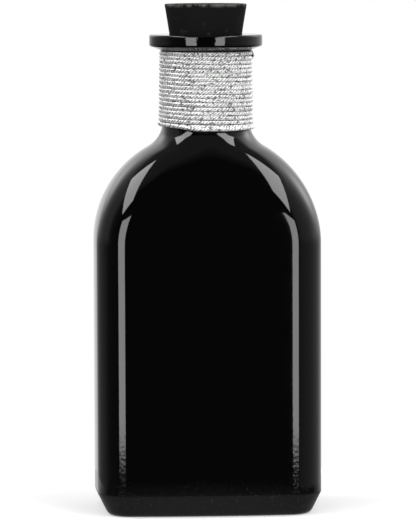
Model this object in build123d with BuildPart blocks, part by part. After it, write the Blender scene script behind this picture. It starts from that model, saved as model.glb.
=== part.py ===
from build123d import *
from math import atan2, cos, dist, pi, radians, sin, sqrt, tan
import os

# Rectangular glass flask with a round neck, a flat lip ring, a cord wound on the
# neck and a tapered plug in the mouth. Millimetres, base centre at the origin,
# +Z up, the wide front faces -Y.

# body
BODY_WIDTH = 63.6
BODY_DEPTH = 42.0
BODY_CORNER = 9.5
PANEL_BOW = 4.0  # degrees, the angle that each of the four walls turns from its middle to its end
SHOULDER_START = 76.0
SHOULDER_RADIUS = 30.7
NECK_SIDE_TILT = 10.0  # degrees, half the part of the neck's circle that each panel runs into
ARRIS = 0.005
WALL = 3.0

# foot
HEEL_HEIGHT = 6.1
HEEL_INSET = 3.05
HEEL_SOFTNESS = 1.2
FOOT_RADIUS = 2.2
BASE_THICKNESS = 6.0
INNER_FLOOR_EDGE = 3.0
REST_RING = 3.0
PUSH_UP = 0.9
PUSH_UP_RUN = 1.8
LEAST_CORNER = 0.3

# neck and lip
NECK_RADIUS = 12.2
NECK_TAPER = 0.3
NECK_FLARE = 8.2
NECK_LENGTH = 19.4
LIP_OVERHANG = 4.0
LIP_THICKNESS = 3.45
LIP_UNDERCUT = 1.3
LIP_LOWER_EDGE = 0.6
LIP_UPPER_EDGE = 0.3
BORE_RADIUS = 8.4

# plug
PLUG_TOP_RADIUS = 11.55
PLUG_TIP_RADIUS = 8.5
PLUG_LENGTH = 19.2
PLUG_DEPTH = 10.65
PLUG_TOP_EDGE = 0.35
PLUG_TIP_EDGE = 0.5
PLUG_CLEARANCE = 0.06

# cord round the neck
CORD_DIAMETER = 0.75
CORD_GAP = 0.42
CORD_CLEARANCE = 0.05
CORD_SIDES = 4
CORD_BELOW_LIP = 0.1
CORD_BELOW_NECK = 2.4
CORD_FRONT_SAG = 0.5
CORD_TOP_END = -8.0  # degrees, where the upper end lies

STATIONS = 5
SAMPLES_PER_TURN = 60


class Shoulder:
    """Half sizes of a horizontal section between the straight body and the round neck."""

    def __init__(self, half_width, half_depth, corner, shoulder, flare, neck):
        self.half_width = half_width
        self.half_depth = half_depth
        self.corner = corner
        self.flare = flare
        self.neck = neck
        self.wide_arc = shoulder
        run = neck + flare - (half_width - shoulder)
        self.rise = sqrt((shoulder + flare) ** 2 - run**2)
        draw = half_depth - neck
        self.deep_arc = (draw**2 + self.rise**2) / (2 * draw) - flare
        self.top = SHOULDER_START + self.rise
        self.round_from = self.joint(self.deep_arc)

    def joint(self, arc):
        """Height where a shoulder arc passes into the flare of the neck."""
        return SHOULDER_START + self.rise * arc / (arc + self.flare)

    def half(self, height, full, arc):
        """Half size at a height: straight wall, convex arc, then the concave flare."""
        if height <= SHOULDER_START:
            return full
        if height >= self.joint(arc):
            return self.neck + self.flare - sqrt(self.flare**2 - (self.top - height) ** 2)
        return full - arc + sqrt(arc**2 - (height - SHOULDER_START) ** 2)

    def section(self, height, arris=0.0):
        """Outline at a height; its sides bow out more and more until it is a circle."""
        wide = self.half(height, self.half_width, self.wide_arc)
        deep = self.half(height, self.half_depth, self.deep_arc)
        ring = self.half(self.round_from, self.half_depth, self.deep_arc)
        share = max(0, height - SHOULDER_START) / (self.round_from - SHOULDER_START)
        corner = self.corner + (ring - self.corner) * share**2 * (3 - 2 * share)
        tilt = PANEL_BOW + (NECK_SIDE_TILT - PANEL_BOW) * share**2
        return outline(height, wide, deep, corner, radians(tilt), arris)

    def heights(self):
        """Section heights, closer together where the profile turns faster."""
        bottom = SHOULDER_START - self.flare / 2
        span = asin_of(self.round_from - SHOULDER_START, self.wide_arc + self.flare)
        steps = [span * i / STATIONS for i in range(STATIONS)]
        arc = [SHOULDER_START + (self.wide_arc + self.flare) * sin(a) for a in steps]
        return [bottom] + arc + [self.round_from]

    def sections(self):
        """Outlines from the straight body up to the circle at the root of the neck."""
        low, *between, high = self.heights()
        return [self.section(low), *(self.section(h, ARRIS) for h in between), self.section(high)]


def asin_of(opposite, hypotenuse):
    """Angle of a right triangle from its opposite side and hypotenuse."""
    return atan2(opposite, sqrt(hypotenuse**2 - opposite**2))


def side(start, middle, end):
    """Side of an outline: straight, or an arc where its middle bows out."""
    if dist(middle, ((start[0] + end[0]) / 2, (start[1] + end[1]) / 2)) < 0.0001:
        Line(start, end)
    else:
        ThreePointArc(start, middle, end)


def outline(height, half_width, half_depth, corner, tilt=0.0, arris=0.0):
    """Closed outline of four sides joined by four corner arcs.

    tilt is the angle that a side turns from its middle to its end, and arris a faint
    swelling of the corner arcs that keeps sides and corners apart as surfaces.
    """
    lean = tan(tilt / 2)
    reach_x = half_width - corner
    reach_y = half_depth - corner
    x = (reach_x - lean * reach_y) / (1 - lean**2)
    y = (reach_y - lean * reach_x) / (1 - lean**2)
    side_x, side_y = x + corner * cos(tilt), y + corner * sin(tilt)
    deep_x, deep_y = x + corner * sin(tilt), y + corner * cos(tilt)
    bend = (corner + arris) * cos(pi / 4)
    with BuildSketch(Plane.XY.offset(height)) as face:
        with BuildLine():
            for sx, sy in ((1, 1), (-1, -1)):
                wide_ends = (sx * side_x, -sy * side_y), (sx * side_x, sy * side_y)
                deep_ends = (sx * deep_x, sy * deep_y), (-sx * deep_x, sy * deep_y)
                next_end = (-sx * side_x, sy * side_y)
                side(wide_ends[0], (sx * half_width, 0), wide_ends[1])
                ThreePointArc(wide_ends[1], (sx * (x + bend), sy * (y + bend)), deep_ends[0])
                side(deep_ends[0], (0, sy * half_depth), deep_ends[1])
                ThreePointArc(deep_ends[1], (-sx * (x + bend), sy * (y + bend)), next_end)
        make_face()
    return face.sketch


OUTER = Shoulder(
    BODY_WIDTH / 2, BODY_DEPTH / 2, BODY_CORNER, SHOULDER_RADIUS, NECK_FLARE, NECK_RADIUS
)
INNER = Shoulder(
    BODY_WIDTH / 2 - WALL,
    BODY_DEPTH / 2 - WALL,
    BODY_CORNER - WALL,
    SHOULDER_RADIUS - WALL,
    NECK_FLARE + WALL,
    BORE_RADIUS,
)
NECK_TOP = OUTER.top + NECK_LENGTH
LIP_TOP = NECK_TOP + LIP_UNDERCUT + LIP_THICKNESS
LIP_RADIUS = NECK_RADIUS + LIP_OVERHANG - NECK_TAPER
PLUG_TIP = LIP_TOP - PLUG_DEPTH
PLUG_SLOPE = (PLUG_TOP_RADIUS - PLUG_TIP_RADIUS) / PLUG_LENGTH
CORD_PITCH = CORD_DIAMETER + CORD_GAP


def inset_outline(height, inset):
    """Body outline drawn in evenly on all sides."""
    corner = max(BODY_CORNER - inset, LEAST_CORNER)
    half_width, half_depth = BODY_WIDTH / 2 - inset, BODY_DEPTH / 2 - inset
    return outline(height, half_width, half_depth, corner, radians(PANEL_BOW))


def glass_radius(height):
    """Radius of the neck's glass at a height, from the flare up to the lip."""
    if height < OUTER.top:
        return OUTER.half(height, OUTER.half_width, OUTER.wide_arc)
    return NECK_RADIUS - NECK_TAPER * (height - OUTER.top) / NECK_LENGTH


def make_cavity():
    """Space inside the glass: body, shoulders, bore and the tapered mouth."""
    heights = INNER.heights()
    mouth = PLUG_TIP_RADIUS + PLUG_CLEARANCE
    with BuildPart() as cavity:
        extrude(INNER.section(BASE_THICKNESS), amount=heights[0] - BASE_THICKNESS)
        chamfer(cavity.faces().sort_by(Axis.Z)[0].edges(), INNER_FLOOR_EDGE)
        loft(INNER.sections(), ruled=True)
        with BuildSketch(Plane.XZ) as bore:
            with BuildLine():
                root = INNER.half(INNER.round_from, INNER.half_width, INNER.wide_arc)
                centre = (BORE_RADIUS + INNER.flare, INNER.top)
                Line((0, INNER.round_from), (root, INNER.round_from))
                flare_arc(centre, INNER.flare, (root, INNER.round_from), INNER.top)
                Polyline(
                    (BORE_RADIUS, INNER.top),
                    (BORE_RADIUS, PLUG_TIP - 1),
                    (mouth, PLUG_TIP),
                    (mouth + PLUG_SLOPE * (PLUG_DEPTH + 1), LIP_TOP + 1),
                    (0, LIP_TOP + 1),
                    (0, INNER.round_from),
                )
            make_face()
        revolve(axis=Axis.Z)
    return cavity.part


def flare_arc(centre, radius, start, top):
    """Concave arc from a point on the flare up to the upright wall of the neck."""
    end_turn = pi
    start_turn = atan2(start[1] - centre[1], start[0] - centre[0]) % (2 * pi)
    middle = (start_turn + end_turn) / 2
    via = (centre[0] + radius * cos(middle), centre[1] + radius * sin(middle))
    ThreePointArc(start, via, (centre[0] - radius, top))


def make_bottle():
    """Glass flask: drawn-in heel, straight body, lofted shoulders, turned neck and lip."""
    heights = OUTER.heights()
    root = OUTER.half(OUTER.round_from, OUTER.half_width, OUTER.wide_arc)
    neck_top_radius = NECK_RADIUS - NECK_TAPER
    lip_under = NECK_TOP + LIP_UNDERCUT
    ring = HEEL_INSET + FOOT_RADIUS * tan(radians(90) / 2 - atan2(HEEL_INSET, HEEL_HEIGHT) / 2)
    with BuildPart() as bottle:
        loft([inset_outline(0, HEEL_INSET), inset_outline(HEEL_HEIGHT, 0)], ruled=True)
        extrude(inset_outline(HEEL_HEIGHT, 0), amount=heights[0] - HEEL_HEIGHT)
        fillet(bottle.edges().filter_by_position(Axis.Z, HEEL_HEIGHT, HEEL_HEIGHT), HEEL_SOFTNESS)
        fillet(bottle.faces().sort_by(Axis.Z)[0].edges(), FOOT_RADIUS)
        loft(OUTER.sections())
        with BuildSketch(Plane.XZ) as turned:
            with BuildLine():
                centre = (NECK_RADIUS + NECK_FLARE, OUTER.top)
                Line((0, OUTER.round_from), (root, OUTER.round_from))
                flare_arc(centre, NECK_FLARE, (root, OUTER.round_from), OUTER.top)
                Polyline(
                    (NECK_RADIUS, OUTER.top),
                    (neck_top_radius, NECK_TOP),
                    (LIP_RADIUS - LIP_LOWER_EDGE, lip_under),
                    (LIP_RADIUS, lip_under + LIP_LOWER_EDGE),
                    (LIP_RADIUS, LIP_TOP),
                    (0, LIP_TOP),
                    (0, OUTER.round_from),
                )
            make_face()
        revolve(axis=Axis.Z)
        chamfer(bottle.faces().sort_by(Axis.Z)[-1].edges(), LIP_UPPER_EDGE)
        add(make_cavity(), mode=Mode.SUBTRACT)
        mouth_edge = bottle.faces().sort_by(Axis.Z)[-1].edges().sort_by(SortBy.LENGTH)[0]
        chamfer(mouth_edge, LIP_UPPER_EDGE)
        inner_ring = ring + REST_RING
        loft(
            [inset_outline(0, inner_ring), inset_outline(PUSH_UP, inner_ring + PUSH_UP_RUN)],
            ruled=True,
            mode=Mode.SUBTRACT,
        )
    bottle.part.label = "bottle"
    return bottle.part


def make_plug():
    """Tapered plug: a turned cone with flat ends and softened edges."""
    top = PLUG_TIP + PLUG_LENGTH
    with BuildPart() as stopper:
        with BuildSketch(Plane.XZ):
            with BuildLine():
                Polyline(
                    (0, PLUG_TIP),
                    (PLUG_TIP_RADIUS, PLUG_TIP),
                    (PLUG_TOP_RADIUS, top),
                    (0, top),
                    (0, PLUG_TIP),
                )
            make_face()
        revolve(axis=Axis.Z)
        chamfer(stopper.edges().filter_by_position(Axis.Z, top, top), PLUG_TOP_EDGE)
        chamfer(stopper.edges().filter_by_position(Axis.Z, PLUG_TIP, PLUG_TIP), PLUG_TIP_EDGE)
    stopper.part.label = "stopper"
    return stopper.part


def cord_point(turns, total):
    """Centre of the cord after a number of turns down from its upper end."""
    upper = NECK_TOP - CORD_BELOW_LIP - CORD_DIAMETER / 2
    angle = radians(CORD_TOP_END) + 2 * pi * turns
    facing = (1 - sin(angle)) / 2
    height = upper - CORD_PITCH * turns - CORD_FRONT_SAG * facing**3 * (turns / total) ** 6
    half = CORD_DIAMETER / 2
    reach = glass_radius(height - half) + half + CORD_CLEARANCE
    return Vector(reach * cos(angle), reach * sin(angle), height)


def cord_heading(turns, total):
    """Unit direction of the cord's centre line."""
    step = 0.001
    return (cord_point(turns + step, total) - cord_point(turns - step, total)).normalized()


def biarc(start, start_way, end, end_way):
    """Two arcs in line with each other and with the directions at both ends."""
    span = end - start
    ways = start_way + end_way
    a = 2 * (1 - start_way.dot(end_way))
    b = 2 * span.dot(ways)
    reach = (-b + sqrt(b**2 + 4 * a * span.dot(span))) / (2 * a)
    joint_way = (end - end_way * reach) - (start + start_way * reach)
    joint = start + start_way * reach + joint_way * 0.5
    TangentArc(start, joint, tangent=start_way)
    TangentArc(joint, end, tangent=joint_way)


def least_gap(route, total):
    """Smallest clear distance between turns, on points along the real route."""
    count = round(total * SAMPLES_PER_TURN)
    points = [tuple(route.position_at(i / count)) for i in range(count + 1)]
    apart = SAMPLES_PER_TURN // 2
    pairs = (
        dist(points[i], q)
        for i in range(len(points))
        for q in points[i + apart : i + 3 * apart]
    )
    return min(pairs) - CORD_DIAMETER


def make_cord():
    """One unbroken cord wound down the neck on half-turn biarcs, both ends straight."""
    lower = OUTER.top - CORD_BELOW_NECK
    upper = NECK_TOP - CORD_BELOW_LIP - CORD_DIAMETER / 2
    total = (upper - lower) / CORD_PITCH
    pieces = round(2 * total)
    stops = [total * i / pieces for i in range(pieces + 1)]
    first, last = cord_point(0, total), cord_point(total, total)
    first_way, last_way = cord_heading(0, total), cord_heading(total, total)
    with BuildPart() as cord:
        with BuildLine() as route:
            Line(first - first_way * CORD_DIAMETER, first)
            for near, far in zip(stops, stops[1:]):
                biarc(
                    cord_point(near, total),
                    cord_heading(near, total),
                    cord_point(far, total),
                    cord_heading(far, total),
                )
            Line(last, last + last_way * CORD_DIAMETER)
        with BuildSketch(Plane(first - first_way * CORD_DIAMETER, z_dir=first_way)):
            RegularPolygon(CORD_DIAMETER / 2, CORD_SIDES)
        path = route.wire()
        sweep(path=path)
    print(f"neck cord: {total:.2f} turns, {path.length:.0f} mm, gap {least_gap(path, total):.3f} mm")
    cord.part.label = "neck_cord"
    return cord.part


os.makedirs("parts", exist_ok=True)
bottle = make_bottle()
stopper = make_plug()
neck_cord = make_cord()
export_step(bottle, "parts/bottle.step")
export_step(stopper, "parts/stopper.step")
export_step(neck_cord, "parts/neck_cord.step")
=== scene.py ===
"""Black glass flask with a cord-wound neck and a cork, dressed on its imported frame."""

from __future__ import annotations

import logging
import math
from dataclasses import dataclass, field
from enum import Enum

import bpy
import numpy as np
from mathutils import Matrix, Vector


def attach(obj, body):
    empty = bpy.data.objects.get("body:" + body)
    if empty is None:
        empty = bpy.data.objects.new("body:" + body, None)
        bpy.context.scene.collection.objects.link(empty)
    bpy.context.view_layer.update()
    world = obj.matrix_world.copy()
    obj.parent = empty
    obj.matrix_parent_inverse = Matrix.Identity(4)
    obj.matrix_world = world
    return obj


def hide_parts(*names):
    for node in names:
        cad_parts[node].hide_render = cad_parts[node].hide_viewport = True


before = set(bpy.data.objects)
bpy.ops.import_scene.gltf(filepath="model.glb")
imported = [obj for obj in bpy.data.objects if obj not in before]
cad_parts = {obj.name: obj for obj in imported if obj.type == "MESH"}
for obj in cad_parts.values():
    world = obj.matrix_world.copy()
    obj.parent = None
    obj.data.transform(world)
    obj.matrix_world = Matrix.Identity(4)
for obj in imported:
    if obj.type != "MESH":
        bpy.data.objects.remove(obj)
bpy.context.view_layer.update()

LOG = logging.getLogger("flask")
MM = 0.001
FULL_TURN = 2 * math.pi
SIDE_POINTS, FRONT_POINTS, CORNER_POINTS = 14, 28, 24
RAMP_TOP = 2.0

Socket = bpy.types.NodeSocket
Value = float | Socket
Colour = tuple[float, float, float]
Point = tuple[float, float]


# ---------------------------------------------------------------- shared helpers


class Body(Enum):
    """The frame's bodies that the pieces ride on."""

    FLASK = "flask"
    PLUG = "plug"


class Tree:
    """Adds and links the nodes of one material, world or geometry tree."""

    def __init__(self, tree: bpy.types.NodeTree) -> None:
        """Starts from an empty tree.

        Args:
            tree: the node tree that is filled.
        """
        self.tree = tree
        tree.nodes.clear()

    def add(self, kind: str, inputs: dict | None = None, **settings: object) -> bpy.types.Node:
        """Adds a node.

        Args:
            kind: the node's type name.
            inputs: socket name or index to a plain value or to an output socket.
            settings: properties of the node itself.

        Returns:
            The new node.
        """
        node = self.tree.nodes.new(kind)
        for name, value in settings.items():
            setattr(node, name, value)
        for key, value in (inputs or {}).items():
            socket = node.inputs[key]
            if isinstance(value, Socket):
                self.tree.links.new(value, socket)
            else:
                socket.default_value = value
        return node

    def math(self, operation: str, *values: Value, clamp: bool = False) -> Socket:
        """Adds a Math node.

        Args:
            operation: the operation's name.
            values: numbers or sockets, in order.
            clamp: whether the result is held to 0 to 1.

        Returns:
            Its result.
        """
        inputs = dict(enumerate(values))
        node = self.add("ShaderNodeMath", inputs, operation=operation, use_clamp=clamp)
        return node.outputs[0]

    def times(self, first: Value, second: Value) -> Socket:
        """Returns the product of two numbers or sockets."""
        return self.math("MULTIPLY", first, second)

    def plus(self, first: Value, second: Value, clamp: bool = False) -> Socket:
        """Returns the sum of two numbers or sockets, held to 0 to 1 where it is clamped."""
        return self.math("ADD", first, second, clamp=clamp)

    def between(self, share: Value, first: Value, second: Value) -> Socket:
        """Returns the number between two others, by the share of the second."""
        inputs = {0: share, 2: first, 3: second}
        return self.add("ShaderNodeMix", inputs, data_type="FLOAT").outputs[0]

    def vector(self, operation: str, *values: Socket | Colour) -> Socket:
        """Adds a Vector Math node.

        Args:
            operation: the operation's name.
            values: vectors or sockets, in order.

        Returns:
            Its vector result.
        """
        node = self.add("ShaderNodeVectorMath", dict(enumerate(values)), operation=operation)
        return node.outputs[0]

    def place(self) -> Socket:
        """Returns the point's Object coordinates."""
        return self.add("ShaderNodeTexCoord").outputs["Object"]

    def noise(
        self, place: Socket, scale: float, detail: float = 2.0, roughness: float = 0.5
    ) -> Socket:
        """Adds a cloudy pattern.

        Args:
            place: where it is looked up.
            scale: how fine it is.
            detail: how many finer layers it has.
            roughness: how strong the finer layers are.

        Returns:
            Its value, about 0 to 1.
        """
        inputs = {"Vector": place, "Scale": scale, "Detail": detail, "Roughness": roughness}
        return self.add("ShaderNodeTexNoise", inputs).outputs[0]

    def cells(self, place: Socket, scale: float) -> Socket:
        """Returns the distance to the nearest of the points scattered at a scale."""
        inputs = {"Vector": place, "Scale": scale, "Randomness": 1.0}
        return self.add("ShaderNodeTexVoronoi", inputs).outputs["Distance"]

    def span(self, value: Socket, ends: Point, levels: Point = (0.0, 1.0)) -> Socket:
        """Adds a straight passage between two levels, held at each outside it.

        Args:
            value: what is looked up.
            ends: where the passage starts and where it ends.
            levels: the levels there.

        Returns:
            The level.
        """
        inputs = dict(enumerate((value, *ends, *levels)))
        return self.add("ShaderNodeMapRange", inputs).outputs[0]

    def rise(self, value: Socket, ends: Point) -> Socket:
        """Returns a soft rise from 0 to 1 as the value passes between two ends."""
        return self.ramp(value, [(ends[0], 0.0), (ends[1], 1.0)])

    def blend(self, share: Socket, first: Socket | Colour, second: Socket | Colour) -> Socket:
        """Adds a mix of two colours.

        Args:
            share: share of the second one.
            first: a colour or a socket.
            second: a colour or a socket.

        Returns:
            The mixed colour.
        """
        ends = [(*end, 1.0) if isinstance(end, tuple) else end for end in (first, second)]
        inputs = {0: share, 6: ends[0], 7: ends[1]}
        return self.add("ShaderNodeMix", inputs, data_type="RGBA").outputs[2]

    def relief(
        self, height: Socket, strength: float, depth: float, under: Socket | None = None
    ) -> Socket:
        """Adds fine relief to the surface.

        Args:
            height: the relief, 0 to 1.
            strength: how much of it shows.
            depth: how deep it is, in metres.
            under: coarser relief that it lies on.

        Returns:
            The turned normal.
        """
        inputs = {"Strength": strength, "Distance": depth, "Height": height}
        if under is not None:
            inputs["Normal"] = under
        return self.add("ShaderNodeBump", inputs).outputs[0]

    def skin(self, inputs: dict) -> None:
        """Ends a material in a Principled shader with these inputs."""
        shader = self.add("ShaderNodeBsdfPrincipled", inputs)
        self.add("ShaderNodeOutputMaterial", {0: shader.outputs[0]})

    def ramp(self, value: Socket, stops: list[Point], ease: bool = True) -> Socket:
        """Adds a grey ramp.

        Args:
            value: what is looked up, 0 to 1.
            stops: positions and grey levels.
            ease: whether it eases between stops.

        Returns:
            The ramp's colour.
        """
        node = self.add("ShaderNodeValToRGB", {0: value})
        band = node.color_ramp
        band.interpolation = "EASE" if ease else "LINEAR"
        while len(band.elements) < len(stops):
            band.elements.new(1.0)
        for element, (position, level) in zip(band.elements, stops):
            element.position = position
            element.color = (level, level, level, 1.0)
        return node.outputs[0]


def new_material(name: str) -> tuple[bpy.types.Material, Tree]:
    """Makes an empty node material.

    Args:
        name: the material's name.

    Returns:
        The material and the helper for its tree.
    """
    material = bpy.data.materials.new(name)
    material.use_nodes = True
    return material, Tree(material.node_tree)


def new_object(name: str, mesh: bpy.types.Mesh, material: bpy.types.Material) -> bpy.types.Object:
    """Links a mesh into the scene as a smooth object at the origin.

    Args:
        name: the object's name.
        mesh: its mesh, with its place in it.
        material: its finish.

    Returns:
        The object.
    """
    piece = bpy.data.objects.new(name, mesh)
    bpy.context.scene.collection.objects.link(piece)
    mesh.materials.clear()
    mesh.materials.append(material)
    mesh.shade_smooth()
    return piece


def ring_skin(name: str, rings: list[np.ndarray]) -> bpy.types.Mesh:
    """Closes a stack of rings into one skin, with a middle point at each end.

    Args:
        name: the mesh's name.
        rings: equal rings of points in metres, in order along the skin.

    Returns:
        The mesh, its faces pointing outwards.
    """
    count = len(rings[0])
    ends = [rings[0].mean(axis=0), rings[-1].mean(axis=0)]
    points = np.vstack([*rings, *[end[None, :] for end in ends]])
    faces: list[tuple[int, ...]] = []
    for row in range(len(rings) - 1):
        low, high = row * count, (row + 1) * count
        for k in range(count):
            after = (k + 1) % count
            faces.append((low + k, low + after, high + after, high + k))
    last = (len(rings) - 1) * count
    first_middle = len(rings) * count
    for k in range(count):
        after = (k + 1) % count
        faces.append((first_middle, after, k))
        faces.append((first_middle + 1, last + k, last + after))
    mesh = bpy.data.meshes.new(name)
    mesh.from_pydata([tuple(p) for p in points], [], faces)
    mesh.validate()
    mesh.update()
    return mesh


def run_points(start: Point, end: Point, step: float, hold: float = 0.12) -> list[Point]:
    """Points of a straight run, with one close to each end to hold its edges.

    Args:
        start: first point.
        end: last point.
        step: widest spacing.
        hold: how near the held points are to the ends, or less on a short run.

    Returns:
        Points from start to end.
    """
    a, b = np.array(start), np.array(end)
    length = float(np.linalg.norm(b - a))
    hold = min(hold, length / 4)
    inner = max(1, math.ceil((length - 2 * hold) / step))
    marks = [0.0, hold, *(hold + (length - 2 * hold) * i / inner for i in range(1, inner))]
    marks += [length - hold, length]
    return [tuple(a + (b - a) * (m / length)) for m in marks]


def arc_points(
    centre: Point, radius: float, start: float, end: float, count: int
) -> list[Point]:
    """Points of an arc.

    Args:
        centre: its middle.
        radius: its radius.
        start: first angle in degrees.
        end: last angle in degrees.
        count: steps.

    Returns:
        Points from start to end.
    """
    angles = [math.radians(start + (end - start) * i / count) for i in range(count + 1)]
    return [(centre[0] + radius * math.cos(a), centre[1] + radius * math.sin(a)) for a in angles]


def quarter(count: int) -> list[float]:
    """Returns the angles of a quarter turn in equal steps, without the first."""
    return [math.radians(90) * i / count for i in range(1, count + 1)]


# ---------------------------------------------------------------------- finishes


@dataclass(frozen=True)
class BlackGlass:
    """Opaque black moulded glass: glossy, faintly wavy, scuffed and dusty low down (metres)."""

    colour: Colour = (0.0012, 0.0012, 0.0013)
    dust_colour: Colour = (0.55, 0.54, 0.52)
    roughness: float = 0.035
    smear: float = 0.03
    wave_scale: float = 55.0
    fine_scale: float = 900.0
    speck_scale: float = 1400.0
    speck_size: float = 0.16
    dust: float = 0.96
    dust_left: float = 0.04
    dust_height: Point = (0.005, 0.012)
    wear_height: Point = (0.008, 0.045)
    low_wear: float = 14.0
    lip_height: Point = (0.1303, 0.1308)
    lip_wear: float = 30.0
    waves: Point = (0.10, 0.0004)
    grazes: Point = (0.03, 0.00003)

    def material(self) -> bpy.types.Material:
        """Makes the glass finish.

        Returns:
            The material.
        """
        material, t = new_material("black_glass")
        place = t.place()
        wave = t.noise(place, self.wave_scale, detail=1.0, roughness=0.4)
        fine = t.noise(place, self.fine_scale, detail=3.0, roughness=0.6)
        height = t.add("ShaderNodeSeparateXYZ", {0: place}).outputs["Z"]
        specks = t.ramp(t.cells(place, self.speck_scale), [(0.0, 1.0), (self.speck_size, 0.0)])
        dots = t.times(specks, t.math("POWER", fine, 2.0))
        low = t.span(height, self.dust_height, (1.0, self.dust_left))
        tint = t.blend(t.times(t.times(dots, low), self.dust), self.colour, self.dust_colour)
        rough = t.plus(self.roughness, t.times(fine, self.smear))
        at_heel = t.span(height, self.wear_height, (self.low_wear, 1.0))
        at_lip = t.span(height, self.lip_height, (0.0, self.lip_wear))
        scuffs = t.times(fine, t.math("MAXIMUM", at_heel, at_lip))
        normal = t.relief(scuffs, *self.grazes, t.relief(wave, *self.waves))
        t.skin({"Base Color": tint, "Roughness": rough, "IOR": 1.5, "Normal": normal})
        return material


@dataclass(frozen=True)
class SilverThread:
    """Aluminised thread: bright foil with painted glints, painted shade in its grooves, and fine
    filaments on each ply.

    Scales are per metre, and the ranges are where a noise or a ply's height turns bright.
    """

    colour: Colour = (1.0, 1.0, 1.0)
    # Painted shade: the near-black colour of the grooves between plies.
    groove_shade: Colour = (0.004, 0.004, 0.004)
    # Colour share of the dark, unlit flecks in the painted glints.
    unlit_fleck: float = 0.12
    metal: float = 0.62
    roughness: float = 0.22
    patchiness: float = 0.16
    filaments: float = 9.0
    filament_lay: float = 900.0
    filament_glint: float = 0.12
    fuzz: float = 0.6
    fuzz_scale: float = 2600.0
    patch_scale: float = 240.0
    glint_scale: float = 1500.0
    glint_range: Point = (0.33, 0.48)
    crest_range: Point = (0.48, 0.70)
    bump: Point = (0.35, 0.00004)

    def material(self) -> bpy.types.Material:
        """Makes the cord finish, which reads the attributes that the cord's tree stores.

        Returns:
            The material.
        """
        material, t = new_material("silver_thread")
        along, around, proud = (
            t.add("ShaderNodeAttribute", attribute_name=name).outputs["Fac"]
            for name in ("along", "around", "proud")
        )
        place = t.place()
        lay = t.plus(t.times(around, self.filaments), t.times(along, self.filament_lay))
        ridges = t.math("ABSOLUTE", t.math("SINE", t.times(lay, math.pi)))
        # Painted glints: a fine noise and the filament ridges turn the foil's colour between
        # bright flecks and dark unlit flecks, standing in for the sparkle of the foil.
        glint = t.noise(place, self.glint_scale, detail=1.0)
        filaments = t.times(ridges, self.filament_glint)
        level = t.plus(t.rise(glint, self.glint_range), filaments, clamp=True)
        foil = t.blend(level, tuple(self.unlit_fleck * c for c in self.colour), self.colour)
        # Painted shade: the colour falls to near-black in the grooves between plies and where rows
        # touch, and stays bright foil on the crests.
        crests = t.rise(proud, self.crest_range)
        patches = t.noise(place, self.patch_scale)
        fuzz = t.noise(place, self.fuzz_scale)
        t.skin(
            {
                "Base Color": t.blend(crests, self.groove_shade, foil),
                "Metallic": self.metal,
                "Roughness": t.plus(self.roughness, t.times(patches, self.patchiness)),
                "Normal": t.relief(t.plus(ridges, t.times(fuzz, self.fuzz)), *self.bump),
            }
        )
        return material


@dataclass(frozen=True)
class BlackCork:
    """Matt black stained cork: soft grain, small pits, and a paler rim that is partly worn crumbs
    and partly a painted highlight of its top edge (metres).
    """

    colour: Colour = (0.0045, 0.0044, 0.0043)
    # Paler colour of the grain specks and of the rim, whose paling is partly wear and partly a
    # painted highlight.
    worn_and_lit: Colour = (0.13, 0.125, 0.12)
    roughness: float = 0.72
    rough_grain: float = 0.2
    gloss: float = 0.12
    grain_scale: float = 330.0
    pore_scale: float = 520.0
    pore_squeeze: float = 0.45
    rim_height: Point = (0.1415, 0.1423)
    rim_reach: Point = (0.0104, 0.0114)
    rim_inside: float = 0.06
    rim_wear_and_highlight: float = 0.8
    chip_range: Point = (0.42, 0.60)
    spot_wear: float = 0.15
    spot_range: Point = (0.56, 0.78)
    grain_share: float = 0.7
    bump: Point = (0.55, 0.00018)

    def material(self) -> bpy.types.Material:
        """Makes the cork finish.

        Returns:
            The material.
        """
        material, t = new_material("black_cork")
        place = t.place()
        grain = t.noise(place, self.grain_scale, detail=5.0, roughness=0.62)
        drawn = t.vector("MULTIPLY", place, (1.0, 1.0, self.pore_squeeze))
        pits = t.ramp(t.cells(drawn, self.pore_scale), [(0.0, 0.0), (0.16, 0.75), (0.42, 1.0)])
        height = t.add("ShaderNodeSeparateXYZ", {0: place}).outputs["Z"]
        flat = t.vector("MULTIPLY", place, (1.0, 1.0, 0.0))
        out = t.add("ShaderNodeVectorMath", {0: flat}, operation="LENGTH").outputs["Value"]
        # Paler rim: partly worn chips, partly a painted highlight along the top edge.
        up_rim = t.span(height, self.rim_height)
        out_rim = t.span(out, self.rim_reach, (self.rim_inside, 1.0))
        rim = t.times(t.times(up_rim, out_rim), t.rise(grain, self.chip_range))
        pale_rim = t.times(rim, self.rim_wear_and_highlight)
        spots = t.times(t.rise(grain, self.spot_range), self.spot_wear)
        relief = t.plus(t.times(grain, self.grain_share), pits)
        t.skin(
            {
                "Base Color": t.blend(t.plus(pale_rim, spots, clamp=True), self.colour, self.worn_and_lit),
                "Roughness": t.plus(self.roughness, t.times(grain, self.rough_grain)),
                "Normal": t.relief(relief, *self.bump),
                "Specular IOR Level": self.gloss,
            }
        )
        return material


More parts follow.
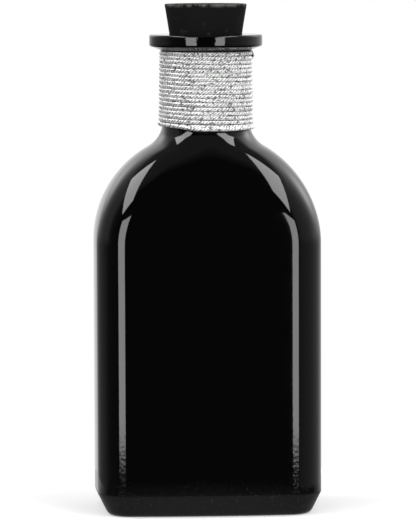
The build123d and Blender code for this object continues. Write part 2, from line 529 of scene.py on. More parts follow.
@dataclass(frozen=True)
class PaleFloor:
    """Pale matt floor that the camera sees as white, with the flask's shadow kept (metres).

    The glass mirrors it by a plain glow, which falls off round the foot and grows behind.
    """

    colour: Colour = (0.86, 0.86, 0.86)
    patch_colour: Colour = (0.88, 0.88, 0.88)
    patch_scale: float = 12.0
    lift: float = 0.25
    near_reach: Point = (0.025, 0.075)
    near_glow: float = 0.30
    far_glow: float = 0.05
    back_reach: Point = (-0.02, 0.03)
    back_glow: float = 0.7

    def material(self) -> bpy.types.Material:
        """Makes the floor finish.

        Returns:
            The material.
        """
        material, t = new_material("pale_floor")
        place = t.place()
        tint = t.blend(t.noise(place, self.patch_scale), self.colour, self.patch_colour)
        matt = t.add("ShaderNodeBsdfDiffuse", {"Color": tint}).outputs[0]
        path = t.add("ShaderNodeLightPath").outputs
        lift = t.times(path["Is Camera Ray"], self.lift)
        glow = t.add("ShaderNodeEmission", {"Strength": lift}).outputs[0]
        both = t.add("ShaderNodeAddShader", {0: matt, 1: glow}).outputs[0]
        x, y, _ = t.add("ShaderNodeSeparateXYZ", {0: place}).outputs
        out = t.math("SQRT", t.plus(t.math("POWER", x, 2.0), t.math("POWER", y, 2.0)))
        near = t.span(out, self.near_reach, (self.near_glow, self.far_glow))
        behind = t.span(y, self.back_reach, (0.0, self.back_glow))
        mirrored = t.math("MAXIMUM", near, behind)
        dim = t.add("ShaderNodeEmission", {"Strength": mirrored}).outputs[0]
        mixed = t.add("ShaderNodeMixShader", {0: path["Is Glossy Ray"], 1: both, 2: dim})
        t.add("ShaderNodeOutputMaterial", {0: mixed.outputs[0]})
        return material


# ------------------------------------------------------------------------- flask


@dataclass
class Shoulder:
    """Sections of one face of the glass, from the straight body to the round neck (mm).

    The arcs of the front profile are given, and those of the side profile follow from them.
    """

    half_width: float
    half_depth: float
    corner: float
    arc: float
    flare: float
    neck: float
    start: float = 76.0
    bow: float = 4.0
    tilt: float = 10.0
    rise: float = field(init=False)
    deep_arc: float = field(init=False)
    top: float = field(init=False)
    round_from: float = field(init=False)

    def __post_init__(self) -> None:
        """Works out the tangent arcs of the side profile from those of the front."""
        run = self.neck + self.flare - (self.half_width - self.arc)
        self.rise = math.sqrt((self.arc + self.flare) ** 2 - run**2)
        draw = self.half_depth - self.neck
        self.deep_arc = (draw**2 + self.rise**2) / (2 * draw) - self.flare
        self.top = self.start + self.rise
        self.round_from = self.joint(self.deep_arc)

    def joint(self, arc: float) -> float:
        """Returns the height where a shoulder arc passes into the flare."""
        return self.start + self.rise * arc / (arc + self.flare)

    def half(self, height: float, full: float, arc: float) -> float:
        """Half size of the section.

        Args:
            height: where, in mm.
            full: half size of the straight body.
            arc: radius of the shoulder in that direction.

        Returns:
            The half size in mm.
        """
        if height <= self.start:
            return full
        if height >= self.joint(arc):
            return self.neck + self.flare - math.sqrt(self.flare**2 - (self.top - height) ** 2)
        return full - arc + math.sqrt(arc**2 - (height - self.start) ** 2)

    def ring(self, height: float) -> np.ndarray:
        """Works out one section.

        Args:
            height: where, in mm.

        Returns:
            Its points in metres.
        """
        wide = self.half(height, self.half_width, self.arc)
        deep = self.half(height, self.half_depth, self.deep_arc)
        whole = self.half(self.round_from, self.half_depth, self.deep_arc)
        share = max(0.0, height - self.start) / (self.round_from - self.start)
        corner = self.corner + (whole - self.corner) * share**2 * (3 - 2 * share)
        tilt = self.bow + (self.tilt - self.bow) * share**2
        return outline(height, wide, deep, corner, math.radians(tilt))

    def heights(self, count: int) -> list[float]:
        """Spaces sections up the shoulder, closer where it turns faster.

        Args:
            count: steps.

        Returns:
            The heights in mm.
        """
        reach = self.arc + self.flare
        span = math.asin((self.round_from - self.start) / reach)
        return [self.start + reach * math.sin(span * i / count) for i in range(count + 1)]


def outline(height: float, wide: float, deep: float, corner: float, tilt: float) -> np.ndarray:
    """Points of a closed section: four sides, which bow out by tilt, and four corner arcs.

    Args:
        height: where, in mm.
        wide: half width in mm.
        deep: half depth in mm.
        corner: corner radius in mm.
        tilt: angle that a side turns from its middle to its end, in radians.

    Returns:
        The ring's points in metres, anticlockwise from above.
    """
    lean = math.tan(tilt / 2)
    reach_x, reach_y = wide - corner, deep - corner
    x = (reach_x - lean * reach_y) / (1 - lean**2)
    y = (reach_y - lean * reach_x) / (1 - lean**2)
    points: list[Point] = []

    def side(full: float, across: float, count: int, turn: int) -> None:
        """Adds one side's points, turned by quarter turns.

        Args:
            full: distance of the side's middle from the axis.
            across: half length to the corner's centre.
            count: points.
            turn: quarter turns.
        """
        bow = (across + corner * math.sin(tilt)) / math.sin(tilt)
        for k in range(count):
            swing = (2 * k / count - 1) * tilt
            u = full - bow + bow * math.cos(swing)
            points.append(turned(u, bow * math.sin(swing), turn))

    def bend(cx: float, cy: float, turn: int) -> None:
        """Adds one corner's points, turned by quarter turns.

        Args:
            cx: corner centre before turning.
            cy: corner centre before turning.
            turn: quarter turns.
        """
        for k in range(CORNER_POINTS):
            angle = tilt + (math.pi / 2 - 2 * tilt) * k / CORNER_POINTS
            u, v = cx + corner * math.cos(angle), cy + corner * math.sin(angle)
            points.append(turned(u, v, turn))

    for half_turn in (0, 2):
        side(wide, y, SIDE_POINTS, half_turn)
        bend(x, y, half_turn)
        side(deep, x, FRONT_POINTS, half_turn + 1)
        bend(y, x, half_turn + 1)
    flat = np.array(points)
    return np.column_stack([flat * MM, np.full(len(flat), height * MM)])


def turned(u: float, v: float, quarters: int) -> Point:
    """Turns a point by quarter turns.

    Args:
        u: first coordinate.
        v: second coordinate.
        quarters: how many quarter turns anticlockwise.

    Returns:
        The turned point.
    """
    for _ in range(quarters % 4):
        u, v = -v, u
    return u, v


@dataclass
class Flask:
    """The glass: heel, body, shoulders, neck, lip, mouth and the hollow inside (mm).

    The two sets of shares are how far the middle rings of a flat end reach out.
    """

    width: float = 63.6
    depth: float = 42.0
    corner: float = 9.5
    wall: float = 3.0
    shoulder: float = 30.7
    heel_height: float = 6.1
    heel_inset: float = 3.05
    heel_softness: float = 1.2
    foot_radius: float = 2.2
    rest_ring: float = 3.0
    push_up: float = 0.9
    push_up_run: float = 1.8
    floor: float = 6.0
    floor_radius: float = 3.0
    neck: float = 12.2
    taper: float = 0.3
    flare: float = 8.2
    neck_length: float = 19.4
    overhang: float = 4.0
    lip: float = 3.45
    undercut: float = 1.3
    lip_round: float = 0.8
    lip_edge: float = 0.55
    bore: float = 8.4
    bore_lead: float = 1.0
    mouth_gap: float = 0.06
    least_corner: float = 0.3
    under_shares: tuple[float, ...] = (0.05, 0.3, 0.6, 0.9)
    floor_shares: tuple[float, ...] = (0.8, 0.45, 0.1)
    finish: BlackGlass = field(default_factory=BlackGlass)
    outside: Shoulder = field(init=False)
    inside: Shoulder = field(init=False)
    neck_top: float = field(init=False)
    lip_top: float = field(init=False)
    lip_radius: float = field(init=False)

    def __post_init__(self) -> None:
        """Works out the two faces of the glass and the heights above the neck."""
        half_width, half_depth = self.width / 2, self.depth / 2
        self.outside = Shoulder(
            half_width, half_depth, self.corner, self.shoulder, self.flare, self.neck
        )
        self.inside = Shoulder(
            half_width - self.wall,
            half_depth - self.wall,
            self.corner - self.wall,
            self.shoulder - self.wall,
            self.flare + self.wall,
            self.bore,
        )
        self.neck_top = self.outside.top + self.neck_length
        self.lip_top = self.neck_top + self.undercut + self.lip
        self.lip_radius = self.neck + self.overhang - self.taper

    def glass_radius(self, height: float) -> float:
        """Looks up the outer radius of the neck or the flare under it.

        Args:
            height: where, in mm.

        Returns:
            The radius in mm.
        """
        if height < self.outside.top:
            return self.outside.half(height, self.outside.half_width, self.outside.arc)
        return self.neck - self.taper * (height - self.outside.top) / self.neck_length

    def inset_ring(self, inset: float, height: float) -> np.ndarray:
        """Draws the body's outline in evenly.

        Args:
            inset: by how much, in mm.
            height: where, in mm.

        Returns:
            The ring's points in metres.
        """
        half_width, half_depth = self.width / 2 - inset, self.depth / 2 - inset
        corner = max(self.corner - inset, self.least_corner)
        return outline(height, half_width, half_depth, corner, math.radians(self.outside.bow))

    def turned_ring(self, radius: float, height: float) -> np.ndarray:
        """Returns a circle of the neck at a height."""
        return outline(height, radius, radius, radius, math.radians(self.outside.tilt))

    def foot_rings(self) -> list[np.ndarray]:
        """Works out the underside, the foot and the heel.

        Returns:
            Their rings, from the middle of the push-up to the top of the heel.
        """
        slope = math.atan2(self.heel_inset, self.heel_height)
        turn = 90 - math.degrees(slope)
        tangent = self.foot_radius * math.tan(math.radians(turn) / 2)
        ring = self.heel_inset + tangent
        inner = ring + self.rest_ring
        dome = inner + self.push_up_run
        middle = self.inset_ring(dome, self.push_up)
        centre = middle.mean(axis=0)
        rings = [centre + (middle - centre) * share for share in self.under_shares]
        profile = run_points((dome, self.push_up), (inner, 0.0), step=1.0)
        profile += run_points((inner, 0.0), (ring, 0.0), step=2.0)[1:]
        foot = (ring, self.foot_radius)
        bend = arc_points(foot, self.foot_radius, start=-90, end=-90 + turn, count=9)
        profile += [(2 * ring - u, z) for u, z in bend[1:]]
        soft = self.heel_softness * math.tan(slope / 2)
        crease = (soft * math.sin(slope), self.heel_height - soft * math.cos(slope))
        profile += run_points(profile[-1], crease, step=1.2)[1:]
        centre_z = self.heel_height + soft
        profile += [
            (self.heel_softness * (1 - math.cos(a)), centre_z - self.heel_softness * math.sin(a))
            for a in (slope * (1 - i / 7) for i in range(1, 8))
        ]
        return rings + [self.inset_ring(u, z) for u, z in profile]

    def lip_profile(self) -> list[Point]:
        """Works out the turned profile of the neck, the lip, the mouth and the bore.

        Returns:
            Its radii and heights in mm, up the outside and down the inside.
        """
        outer = self.outside
        under = self.neck_top + self.undercut
        lip_top, edge = self.lip_top, self.lip_edge
        centre = (self.neck + self.flare, outer.top)
        first = 180 + math.degrees(math.asin((outer.top - outer.round_from) / self.flare))
        profile = arc_points(centre, self.flare, start=first, end=180, count=12)[1:]
        neck_top = (self.neck - self.taper, self.neck_top)
        profile += run_points((self.neck, outer.top), neck_top, step=2.5)[1:]
        corner = self.lip_radius - self.lip_round
        profile += run_points(neck_top, (corner, under), step=1.0)[1:]
        lower = (corner, under + self.lip_round)
        profile += arc_points(lower, self.lip_round, start=-90, end=0, count=8)[1:]
        wall_top = (self.lip_radius, lip_top - edge)
        profile += run_points((self.lip_radius, under + self.lip_round), wall_top, step=1.0)[1:]
        upper = (self.lip_radius - edge, lip_top - edge)
        profile += arc_points(upper, edge, start=0, end=90, count=5)[1:]
        plug = Cork()
        mouth = plug.tip_radius + self.mouth_gap
        slope = plug.slope()
        at_top = mouth + slope * plug.depth
        inward = (at_top + edge, lip_top)
        profile += run_points((self.lip_radius - edge, lip_top), inward, step=1.2)[1:]
        profile += [
            (at_top + edge * (1 - math.sin(a)), lip_top - edge * (1 - math.cos(a)))
            for a in quarter(5)
        ]
        tip = lip_top - plug.depth
        bore_top = (self.bore, tip - self.bore_lead)
        profile += run_points((at_top - slope * edge, lip_top - edge), (mouth, tip), step=2.0)[1:]
        profile += run_points((mouth, tip), bore_top, step=1.0)[1:]
        profile += run_points(bore_top, (self.bore, self.inside.top), step=3.0)[1:]
        inner = self.inside
        last = 180 + math.degrees(math.asin((inner.top - inner.round_from) / inner.flare))
        centre = (self.bore + inner.flare, inner.top)
        profile += arc_points(centre, inner.flare, start=180, end=last, count=8)[1:]
        return profile

    def build(self) -> bpy.types.Object:
        """Builds the closed skin of the glass and dresses it.

        Returns:
            The flask's object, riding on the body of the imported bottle.
        """
        rings = self.foot_rings()
        slope = math.atan2(self.heel_inset, self.heel_height)
        body_low = self.heel_height + self.heel_softness * math.tan(slope / 2)
        body = run_points((0, body_low), (0, self.outside.start), step=5.0)
        rings += [self.inset_ring(0.0, z) for _, z in body[1:-1]]
        rings += [self.outside.ring(z) for z in self.outside.heights(count=44)]
        rings += [self.turned_ring(r, z) for r, z in self.lip_profile()]
        inner = self.inside
        rings += [inner.ring(z) for z in reversed(inner.heights(count=20)[:-1])]
        low = self.floor + self.floor_radius
        hollow = run_points((0, inner.start), (0, low), step=12.0)
        rings += [inner.ring(z) for _, z in hollow[1:]]
        for angle in quarter(6):
            inset = self.wall + self.floor_radius * (1 - math.cos(angle))
            rings.append(self.inset_ring(inset, low - self.floor_radius * math.sin(angle)))
        last = rings[-1]
        centre = last.mean(axis=0)
        rings += [centre + (last - centre) * share for share in self.floor_shares]
        piece = new_object("flask_glass", ring_skin("flask_glass", rings), self.finish.material())
        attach(piece, Body.FLASK.value)
        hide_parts("bottle")
        return piece


# -------------------------------------------------------------------------- cork


@dataclass
class Cork:
    """The tapered cork, with a slightly uneven skin (mm).

    Waves and chips are counted round the cork, and both fade out towards the mouth.
    """

    top_radius: float = 11.55
    tip_radius: float = 8.5
    length: float = 19.2
    depth: float = 10.65
    top_edge: float = 0.35
    tip_edge: float = 0.5
    pole: float = 0.4
    around: int = 200
    seed: int = 11
    wave_counts: tuple[int, ...] = (2, 3, 5, 7, 11, 17)
    wave_size: float = 0.045
    wave_drift: Point = (0.15, 0.5)
    wave_share: float = 0.6
    smooth_above_lip: float = 0.3
    smooth_fade: float = 1.5
    chip_size: float = 0.05
    chip_counts: tuple[int, int] = (23, 9)
    chip_turn: float = 1.3
    chip_floor: float = 0.35
    chip_reach: float = 0.5
    chip_from: float = 9.0
    chip_in: float = 3.0
    chip_down: float = 0.35
    finish: BlackCork = field(default_factory=BlackCork)

    def slope(self) -> float:
        """Returns how much the radius grows per mm of height."""
        return (self.top_radius - self.tip_radius) / self.length

    def profile(self, tip: float) -> list[Point]:
        """Radii and heights from the middle of the tip to the middle of the top.

        Args:
            tip: height of the tip.

        Returns:
            The profile's points.
        """
        top = tip + self.length
        tip_edge, top_edge, slope = self.tip_edge, self.top_edge, self.slope()
        points = run_points((self.pole, tip), (self.tip_radius - tip_edge, tip), step=0.9)
        points += [
            (
                self.tip_radius - tip_edge + (tip_edge + slope * tip_edge) * math.sin(a),
                tip + tip_edge * (1 - math.cos(a)),
            )
            for a in quarter(6)
        ]
        side_top = (self.top_radius - slope * top_edge, top - top_edge)
        points += run_points(points[-1], side_top, step=0.3)[1:]
        points += [
            (side_top[0] - top_edge * (1 - math.cos(a)), side_top[1] + top_edge * math.sin(a))
            for a in quarter(6)
        ]
        points += run_points(points[-1], (self.pole, top), step=0.45)[1:]
        return points

    def rings(self, lip_top: float) -> list[np.ndarray]:
        """Works out the skin: even in the mouth, wavy above it and chipped at the rim.

        Args:
            lip_top: height of the lip that it stands in.

        Returns:
            Its rings in metres, from the tip to the top.
        """
        generator = np.random.default_rng(self.seed)
        waves = [
            (
                k,
                generator.uniform(0, FULL_TURN),
                generator.uniform(*self.wave_drift),
                self.wave_size / k**0.5,
            )
            for k in self.wave_counts
        ]
        tip = lip_top - self.depth
        angles = np.arange(self.around) * FULL_TURN / self.around
        many, few = self.chip_counts
        bites = np.sin(many * angles + self.chip_turn) * np.sin(few * angles) - self.chip_floor
        chips = self.chip_size * np.clip(bites, 0, 1)
        rings = []
        for radius, z in self.profile(tip):
            above = z - lip_top - self.smooth_above_lip
            free = max(0.0, min(1.0, above / self.smooth_fade))
            uneven = sum(a * np.sin(k * angles + p + q * (z - tip)) for k, p, q, a in waves)
            near_rim = max(0.0, 1 - abs(z - tip - self.length) / self.chip_reach)
            near_rim *= radius > self.chip_from
            r = radius + free * (self.wave_share * uneven - near_rim * self.chip_in * chips)
            sag = self.chip_down * near_rim * chips * free
            ring = np.column_stack([r * np.cos(angles), r * np.sin(angles), z - sag])
            rings.append(ring * MM)
        return rings

    def build(self, lip_top: float) -> bpy.types.Object:
        """Builds and dresses the cork.

        Args:
            lip_top: height of the lip that it stands in.

        Returns:
            The cork's object, riding on the plug's body.
        """
        skin = ring_skin("cork", self.rings(lip_top))
        piece = new_object("cork", skin, self.finish.material())
        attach(piece, Body.PLUG.value)
        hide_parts("stopper")
        return piece


# -------------------------------------------------------------------------- cord


@dataclass
class NeckCord:
    """Three-ply silver cord wound down the neck, its plies made by geometry nodes (mm).

    Overlaps and fades are in turns from the nearer end, and fray_fade is per metre.
    """

    flask: Flask
    plies: int = 3
    lay: float = 2.9
    ply_radius: float = 0.295
    ply_sides: int = 6
    spread_out: float = 0.27
    spread_up: float = 0.335
    pitch: float = 1.17
    turns: float = 19.2
    points_per_turn: int = 200
    first_front: float = 0.75
    below_lip: float = 0.44
    top_end: float = -8.0
    level_front: float = 0.16
    level_turns: float = 4.5
    sag: float = 0.5
    tuck: float = 0.5
    tuck_turns: float = 0.4
    drop: float = 0.9
    drop_turns: float = 0.04
    press: float = 0.12
    ride: float = 0.6
    overlap: tuple[float, float, float, float] = (0.90, 0.80, 0.535, 0.475)
    clearance: float = 0.02
    uneven_up: float = 0.03
    uneven_out: float = 0.012
    drift_seed: int = 5
    drift_rates: Point = (0.31, 0.23)
    step: float = 0.28
    fray: float = 0.55
    fray_fade: float = 900.0
    jitter: float = 0.012
    seed: int = 7
    groove_depth: float = 0.4
    finish: SilverThread = field(default_factory=SilverThread)

    def centre_line(self) -> np.ndarray:
        """Winds the cord: level under the lip, down the neck, and over itself at its end.

        Returns:
            Its centre line in metres, from its upper end to its lower one.
        """
        half_up = self.spread_up + self.ply_radius
        half_out = self.spread_out + self.ply_radius
        upper = self.flask.neck_top - self.below_lip
        turns = np.linspace(0.0, self.turns, round(self.turns * self.points_per_turn))
        angle = math.radians(self.top_end) + FULL_TURN * turns
        facing = (1 - np.sin(angle)) / 2
        level = self.level_front * np.exp(-((turns / self.level_turns) ** 2))
        fallen = turns - level * np.cos(FULL_TURN * turns)
        drift = np.random.default_rng(self.drift_seed).uniform(-1, 1, (5, 2))
        slow, faster = self.drift_rates
        wobble = sum(
            a * np.sin(angle * (slow + faster * k) + 3 * b) for k, (a, b) in enumerate(drift)
        )
        height = upper - self.pitch * (fallen - self.first_front) + self.uneven_up * wobble
        height = np.minimum(height, upper)
        height -= self.sag * facing**3 * (turns / self.turns) ** 6
        begin, full, still, done = self.overlap
        on_top = np.interp(
            self.turns - turns, (done, still, full, begin), (self.ride, 1.0, 1.0, 0.0)
        )
        height += self.pitch * on_top
        radius = np.array([self.flask.glass_radius(z - half_up) for z in height])
        radius += half_out + self.clearance + self.uneven_out * np.abs(wobble)
        radius += self.tuck * np.clip(1 - turns / self.tuck_turns, 0, 1)
        radius += self.press * on_top
        height -= self.drop * np.clip(1 - turns / self.drop_turns, 0, 1)
        return np.column_stack([radius * np.cos(angle), radius * np.sin(angle), height]) * MM

    def path_object(self) -> bpy.types.Object:
        """Lays the centre line as an open curve of straight runs.

        Returns:
            The curve's object.
        """
        line = self.centre_line()
        curve = bpy.data.curves.new("cord_path", "CURVE")
        curve.dimensions = "3D"
        spline = curve.splines.new("POLY")
        spline.points.add(len(line) - 1)
        spline.points.foreach_set("co", np.column_stack([line, np.ones(len(line))]).ravel())
        path = bpy.data.objects.new("cord_path", curve)
        bpy.context.scene.collection.objects.link(path)
        return path

    def sizes(self) -> dict[str, tuple[str, float]]:
        """Lists the tree's named inputs.

        Returns:
            Each input's socket type and value, by name.
        """
        lengths = {
            "Lay": self.lay,
            "Ply Radius": self.ply_radius,
            "Spread Out": self.spread_out,
            "Spread Up": self.spread_up,
            "Step": self.step,
        }
        return {
            "Plies": ("NodeSocketInt", self.plies),
            **{name: ("NodeSocketFloat", size * MM) for name, size in lengths.items()},
            "Fray": ("NodeSocketFloat", self.fray),
            "Seed": ("NodeSocketInt", self.seed),
        }

    def tree(self, material: bpy.types.Material) -> bpy.types.NodeTree:
        """Builds the geometry tree that lays the plies round the centre line.

        Args:
            material: the cord's finish.

        Returns:
            The tree, with named inputs for its sizes.
        """
        group = bpy.data.node_groups.new("twisted_cord", "GeometryNodeTree")
        face = group.interface
        face.new_socket("Path", in_out="INPUT", socket_type="NodeSocketGeometry")
        for name, (kind, _) in self.sizes().items():
            face.new_socket(name, in_out="INPUT", socket_type=kind)
        face.new_socket("Cord", in_out="OUTPUT", socket_type="NodeSocketGeometry")
        t = Tree(group)
        size = t.add("NodeGroupInput").outputs
        even = t.add(
            "GeometryNodeResampleCurve",
            {"Curve": size["Path"], "Length": size["Step"]},
            mode="LENGTH",
        )
        copies = t.add(
            "GeometryNodeDuplicateElements",
            {"Geometry": even.outputs[0], "Amount": size["Plies"]},
            domain="SPLINE",
        )
        length = t.add("GeometryNodeSplineParameter").outputs["Length"]
        place = t.add("GeometryNodeInputPosition").outputs[0]
        offset = self.twist(t, size, copies.outputs["Duplicate Index"], length, place)
        hub = self.store(t, copies.outputs[0], "hub", place, "FLOAT_VECTOR")
        laid = t.add("GeometryNodeSetPosition", {"Geometry": hub, "Offset": offset}).outputs[0]
        marked = self.store(t, laid, "along", length)
        tube = self.tube(t, size, marked)
        whole = t.add("GeometryNodeRealizeInstances", {0: tube}).outputs[0]
        dressed = t.add("GeometryNodeSetMaterial", {0: whole, "Material": material}).outputs[0]
        t.add("NodeGroupOutput", {0: dressed})
        return group

    def twist(
        self,
        t: Tree,
        size: bpy.types.bpy_prop_collection,
        number: Socket,
        length: Socket,
        place: Socket,
    ) -> Socket:
        """Twists each ply round the centre line, splayed a little at its upper end.

        Args:
            t: the tree's helper.
            size: the tree's inputs.
            number: the ply's number.
            length: how far along the cord the point is.
            place: the point on the centre line.

        Returns:
            The way from the centre line to the ply.
        """
        start = t.times(t.math("DIVIDE", number, size["Plies"]), FULL_TURN)
        turn = t.times(t.math("DIVIDE", length, size["Lay"]), FULL_TURN)
        angle = t.plus(start, turn)
        loose = t.math("EXPONENT", t.times(length, -self.fray_fade))
        splay = t.plus(1.0, t.times(loose, size["Fray"]))
        outward = t.vector("NORMALIZE", t.vector("MULTIPLY", place, (1.0, 1.0, 0.0)))
        out = t.times(t.times(t.math("COSINE", angle), size["Spread Out"]), splay)
        up = t.times(t.times(t.math("SINE", angle), size["Spread Up"]), splay)
        scaled = t.add("ShaderNodeVectorMath", {0: outward, "Scale": out}, operation="SCALE")
        lift = t.add("ShaderNodeCombineXYZ", {2: up}).outputs[0]
        shake = self.jitter * MM
        jitter = t.add(
            "FunctionNodeRandomValue",
            {0: (-shake,) * 3, 1: (shake,) * 3, "Seed": size["Seed"]},
            data_type="FLOAT_VECTOR",
        ).outputs[0]
        return t.vector("ADD", t.vector("ADD", scaled.outputs[0], lift), jitter)

    def tube(self, t: Tree, size: bpy.types.bpy_prop_collection, plies: Socket) -> Socket:
        """Gives the plies their thickness, and marks how proud of the grooves they stand.

        Args:
            t: the tree's helper.
            size: the tree's inputs.
            plies: their curves.

        Returns:
            The plies' skins, with the attributes "around" and "proud".
        """
        ring = t.add(
            "GeometryNodeCurvePrimitiveCircle",
            {"Resolution": self.ply_sides, "Radius": size["Ply Radius"]},
        ).outputs[0]
        around = t.add("GeometryNodeSplineParameter").outputs["Factor"]
        profile = self.store(t, ring, "around", around)
        tube = t.add(
            "GeometryNodeCurveToMesh",
            {"Curve": plies, "Profile Curve": profile, "Fill Caps": True},
        ).outputs[0]
        middle = t.add(
            "GeometryNodeInputNamedAttribute", {"Name": "hub"}, data_type="FLOAT_VECTOR"
        ).outputs[0]
        here = t.add("GeometryNodeInputPosition").outputs[0]
        # How proud a point stands of the grooves; the cord's finish turns low values into painted
        # groove shade.
        apart = t.add("ShaderNodeVectorMath", {0: here, 1: middle}, operation="DISTANCE")
        buried = t.times(size["Ply Radius"], self.groove_depth)
        deepest = t.math("SUBTRACT", size["Spread Up"], buried)
        tallest = t.plus(size["Spread Out"], size["Ply Radius"])
        above = t.math("SUBTRACT", apart.outputs["Value"], deepest)
        proud = t.math("DIVIDE", above, t.math("SUBTRACT", tallest, deepest))
        return self.store(t, tube, "proud", proud)

    @staticmethod
    def store(t: Tree, geometry: Socket, name: str, value: Socket, kind: str = "FLOAT") -> Socket:
        """Keeps a value of every point under a name.

        Args:
            t: the tree's helper.
            geometry: what carries it.
            name: the attribute's name.
            value: the value.
            kind: its data type.

        Returns:
            The geometry with the attribute.
        """
        node = t.add(
            "GeometryNodeStoreNamedAttribute",
            {"Name": name, "Geometry": geometry},
            data_type=kind,
            domain="POINT",
        )
        t.tree.links.new(value, [i for i in node.inputs if i.name == "Value" and i.enabled][0])
        return node.outputs[0]

    def build(self) -> bpy.types.Object:
        """Winds, dresses and places the cord.

        Returns:
            The cord's object, riding on the flask's body.
        """
        material = self.finish.material()
        path = self.path_object()
        group = self.tree(material)
        modifier = path.modifiers.new("plies", "NODES")
        modifier.node_group = group
        sizes = self.sizes()
        for item in group.interface.items_tree:
            if item.in_out == "INPUT" and item.name in sizes:
                modifier[item.identifier] = sizes[item.name][1]
        depsgraph = bpy.context.evaluated_depsgraph_get()
        mesh = bpy.data.meshes.new_from_object(path.evaluated_get(depsgraph))
        path.modifiers.clear()
        bpy.data.objects.remove(path)
        mesh.name = "neck_cord_plies"
        piece = new_object("neck_cord_plies", mesh, material)
        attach(piece, Body.FLASK.value)
        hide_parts("neck_cord")
        return piece


# ------------------------------------------------------------------------ studio


@dataclass(frozen=True)
class SoftBox:
    """One softbox, aimed at the middle of the flask (degrees and metres)."""

    name: str
    azimuth: float
    elevation: float
    width: float
    height: float
    lean: float
    radiance: float
    distance: float = 1.1

    def build(self, aim: Vector, turn: float) -> None:
        """Hangs the lamp.

        Args:
            aim: what it faces.
            turn: azimuth of the camera, from which its own is counted.
        """
        lamp = bpy.data.lights.new(self.name, "AREA")
        lamp.shape = "RECTANGLE"
        reach = 2 * self.distance
        lamp.size = reach * math.tan(math.radians(self.width) / 2)
        lamp.size_y = reach * math.tan(math.radians(self.height) / 2)
        lamp.energy = self.radiance * lamp.size * lamp.size_y * math.pi
        a, e = math.radians(self.azimuth + turn), math.radians(self.elevation)
        way = Vector((math.sin(a) * math.cos(e), -math.cos(a) * math.cos(e), math.sin(e)))
        box = bpy.data.objects.new(self.name, lamp)
        box.location = aim + way * self.distance
        box.rotation_mode = "QUATERNION"
        tilt = Matrix.Rotation(math.radians(self.lean), 4, "Z").to_quaternion()
        box.rotation_quaternion = way.to_track_quat("Z", "Y") @ tilt
        box.visible_camera = False
        bpy.context.scene.collection.objects.link(box)


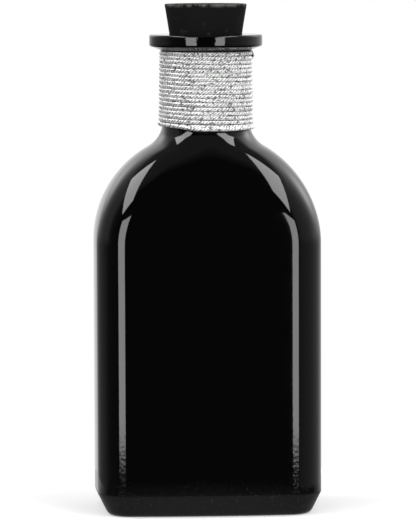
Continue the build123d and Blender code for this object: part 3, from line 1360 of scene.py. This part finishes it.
@dataclass
class Studio:
    """Pale floor, white surroundings that darken towards the front, softboxes and camera.

    Azimuths are degrees from the camera, the lights are pairs of azimuth and brightness, and
    the horizon, the pit and the roof are spans of elevation in half turns.
    """

    floor_radius: float = 0.085
    floor_sides: int = 96
    sensor: float = 36.0
    clip: Point = (0.05, 20.0)
    distance: float = 1.05
    eye_height: float = 0.163
    seen_height: float = 0.14664
    aim: tuple[float, float, float] = (0.00043, 0.0, 0.07036)
    roll: float = -0.19
    turn: float = -3.6
    low_light: tuple[Point, ...] = (
        (-180, 1.0), (-163, 0.75), (-148, 0.42), (-131, 0.28), (-112, 0.23), (-96, 0.18),
        (-84, 0.09), (-74, 0.045), (-50, 0.03), (-35, 0.0), (33, 0.0), (44, 0.14), (66, 0.20),
        (86, 0.26), (104, 0.36), (117, 0.43), (131, 0.58), (150, 0.8), (180, 1.0),
    )
    middle_light: tuple[Point, ...] = (
        (-180, 1.0), (-150, 1.0), (-128, 0.5), (-104, 0.34), (-84, 0.34), (-76, 0.13),
        (-66, 0.04), (-45, 0.0), (38, 0.0), (47, 0.24), (70, 0.34), (85, 0.42), (100, 0.65),
        (115, 0.9), (135, 1.1), (180, 1.0),
    )
    rims: tuple[tuple[float, float, float], ...] = ((-143, 23, 1.2), (130, 24, 2.2))
    rim_size: Point = (14.0, 11.0)
    high_light: float = 0.15
    fill: Colour = (0.55, 0.55, 0.55)
    horizon: Point = (-0.025, 0.02)
    pit: Point = (-0.17, -0.09)
    pit_light: float = 0.06
    roof: Point = (0.235, 0.28)
    # Each: name, azimuth, elevation, width, height, lean and radiance.
    soft_boxes: tuple[SoftBox, ...] = (
        SoftBox("left_low", -29.5, 5.6, 22, 31.8, 0, 5.0),
        SoftBox("right_low", 29, 3.6, 19, 27.8, 0, 5.0),
        SoftBox("left_high", -70, 47.3, 15, 49, 62, 6.0),
        SoftBox("right_high", 54.5, 45.8, 16, 53, -54, 6.0),
    )

    def floor(self) -> None:
        """Lays the round pale floor, which isn't part of the object."""
        sides = range(self.floor_sides)
        angles = [FULL_TURN * k / self.floor_sides for k in sides]
        corners = [
            (self.floor_radius * math.cos(a), self.floor_radius * math.sin(a), 0.0) for a in angles
        ]
        mesh = bpy.data.meshes.new("floor")
        mesh.from_pydata(corners, [], [tuple(sides)])
        plate = bpy.data.objects.new("floor", mesh)
        bpy.context.scene.collection.objects.link(plate)
        mesh.materials.append(PaleFloor().material())

    def world(self) -> None:
        """Sets the surroundings: white to the camera, and a room with a dark front."""
        world = bpy.data.worlds.new("studio")
        bpy.context.scene.world = world
        world.use_nodes = True
        t = Tree(world.node_tree)
        way = t.add("ShaderNodeTexCoord").outputs["Generated"]
        way = t.add(
            "ShaderNodeVectorRotate",
            {"Vector": way, "Angle": -math.radians(self.turn)},
            rotation_type="Z_AXIS",
        ).outputs[0]
        x, y, z = t.add("ShaderNodeSeparateXYZ", {0: way}).outputs
        around = t.math("DIVIDE", t.math("ARCTAN2", x, t.times(y, -1.0)), math.pi)
        turn = t.plus(t.times(around, 0.5), 0.5)
        up = t.math("DIVIDE", t.math("ARCSINE", z), math.pi)
        low = self.sides(t, turn, self.low_light)
        middle = self.sides(t, turn, self.middle_light)
        for azimuth, elevation, strength in self.rims:
            middle = t.plus(middle, self.glow(t, around, up, azimuth, elevation, strength))
        low = t.times(low, t.span(up, self.pit, (self.pit_light, 1.0)))
        room = t.between(t.span(up, self.horizon), low, middle)
        room = t.between(t.span(up, self.roof), room, self.high_light)
        path = t.add("ShaderNodeLightPath").outputs
        shiny = t.math("MAXIMUM", path["Is Glossy Ray"], path["Is Transmission Ray"])
        room_or_fill = t.blend(shiny, self.fill, room)
        seen = t.blend(path["Is Camera Ray"], room_or_fill, (1.0, 1.0, 1.0))
        sky = t.add("ShaderNodeBackground", {"Color": seen, "Strength": 1.0})
        t.add("ShaderNodeOutputWorld", {0: sky.outputs[0]})

    @staticmethod
    def sides(t: Tree, turn: Socket, levels: tuple[Point, ...]) -> Socket:
        """Looks up how bright the room is at an azimuth.

        Args:
            t: the tree's helper.
            turn: azimuth from the camera, 0 to 1 for -180 to 180 degrees.
            levels: azimuths in degrees and brightness.

        Returns:
            The brightness.
        """
        stops = [((azimuth + 180) / 360, level / RAMP_TOP) for azimuth, level in levels]
        return t.times(t.ramp(turn, stops, ease=False), RAMP_TOP)

    def glow(
        self,
        t: Tree,
        around: Socket,
        up: Socket,
        azimuth: float,
        elevation: float,
        strength: float,
    ) -> Socket:
        """Adds a soft bright patch of the room behind the flask.

        Args:
            t: the tree's helper.
            around: azimuth in half turns.
            up: elevation in half turns.
            azimuth: where its middle lies, in degrees.
            elevation: where its middle lies, in degrees.
            strength: brightness at its middle.

        Returns:
            Its brightness.
        """
        wide, tall = self.rim_size
        across = t.times(t.math("SUBTRACT", around, azimuth / 180), 180 / wide)
        above = t.times(t.math("SUBTRACT", up, elevation / 180), 180 / tall)
        away = t.plus(t.times(across, across), t.times(above, above))
        return t.times(t.math("EXPONENT", t.times(away, -1.0)), strength)

    def camera(self) -> None:
        """Sets up the camera at the photograph's angle."""
        lens = bpy.data.cameras.new("camera")
        lens.sensor_width = self.sensor
        lens.clip_start, lens.clip_end = self.clip
        eye = bpy.data.objects.new("camera", lens)
        aim = Vector(self.aim)
        a = math.radians(self.turn)
        eye.location = Vector(
            (self.distance * math.sin(a), -self.distance * math.cos(a), self.eye_height)
        )
        lens.lens = self.sensor * (aim - eye.location).length / self.seen_height
        look = (aim - eye.location).to_track_quat("-Z", "Y")
        turn = Matrix.Rotation(math.radians(self.roll), 4, "Z").to_quaternion()
        eye.rotation_mode = "QUATERNION"
        eye.rotation_quaternion = look @ turn
        bpy.context.scene.collection.objects.link(eye)
        bpy.context.scene.camera = eye

    def build(self) -> None:
        """Sets up the whole studio."""
        bpy.context.scene.view_settings.view_transform = "Standard"
        self.world()
        self.floor()
        self.camera()
        for box in self.soft_boxes:
            box.build(Vector(self.aim), self.turn)


def main() -> None:
    """Builds the studio and every piece, and reports each one."""
    logging.basicConfig(level=logging.INFO, format="%(message)s")
    Studio().build()
    flask = Flask()
    pieces = [flask.build(), NeckCord(flask).build(), Cork().build(flask.lip_top)]
    for piece in pieces:
        LOG.info("%s: %d faces", piece.name, len(piece.data.polygons))


if __name__ == "__main__":
    main()
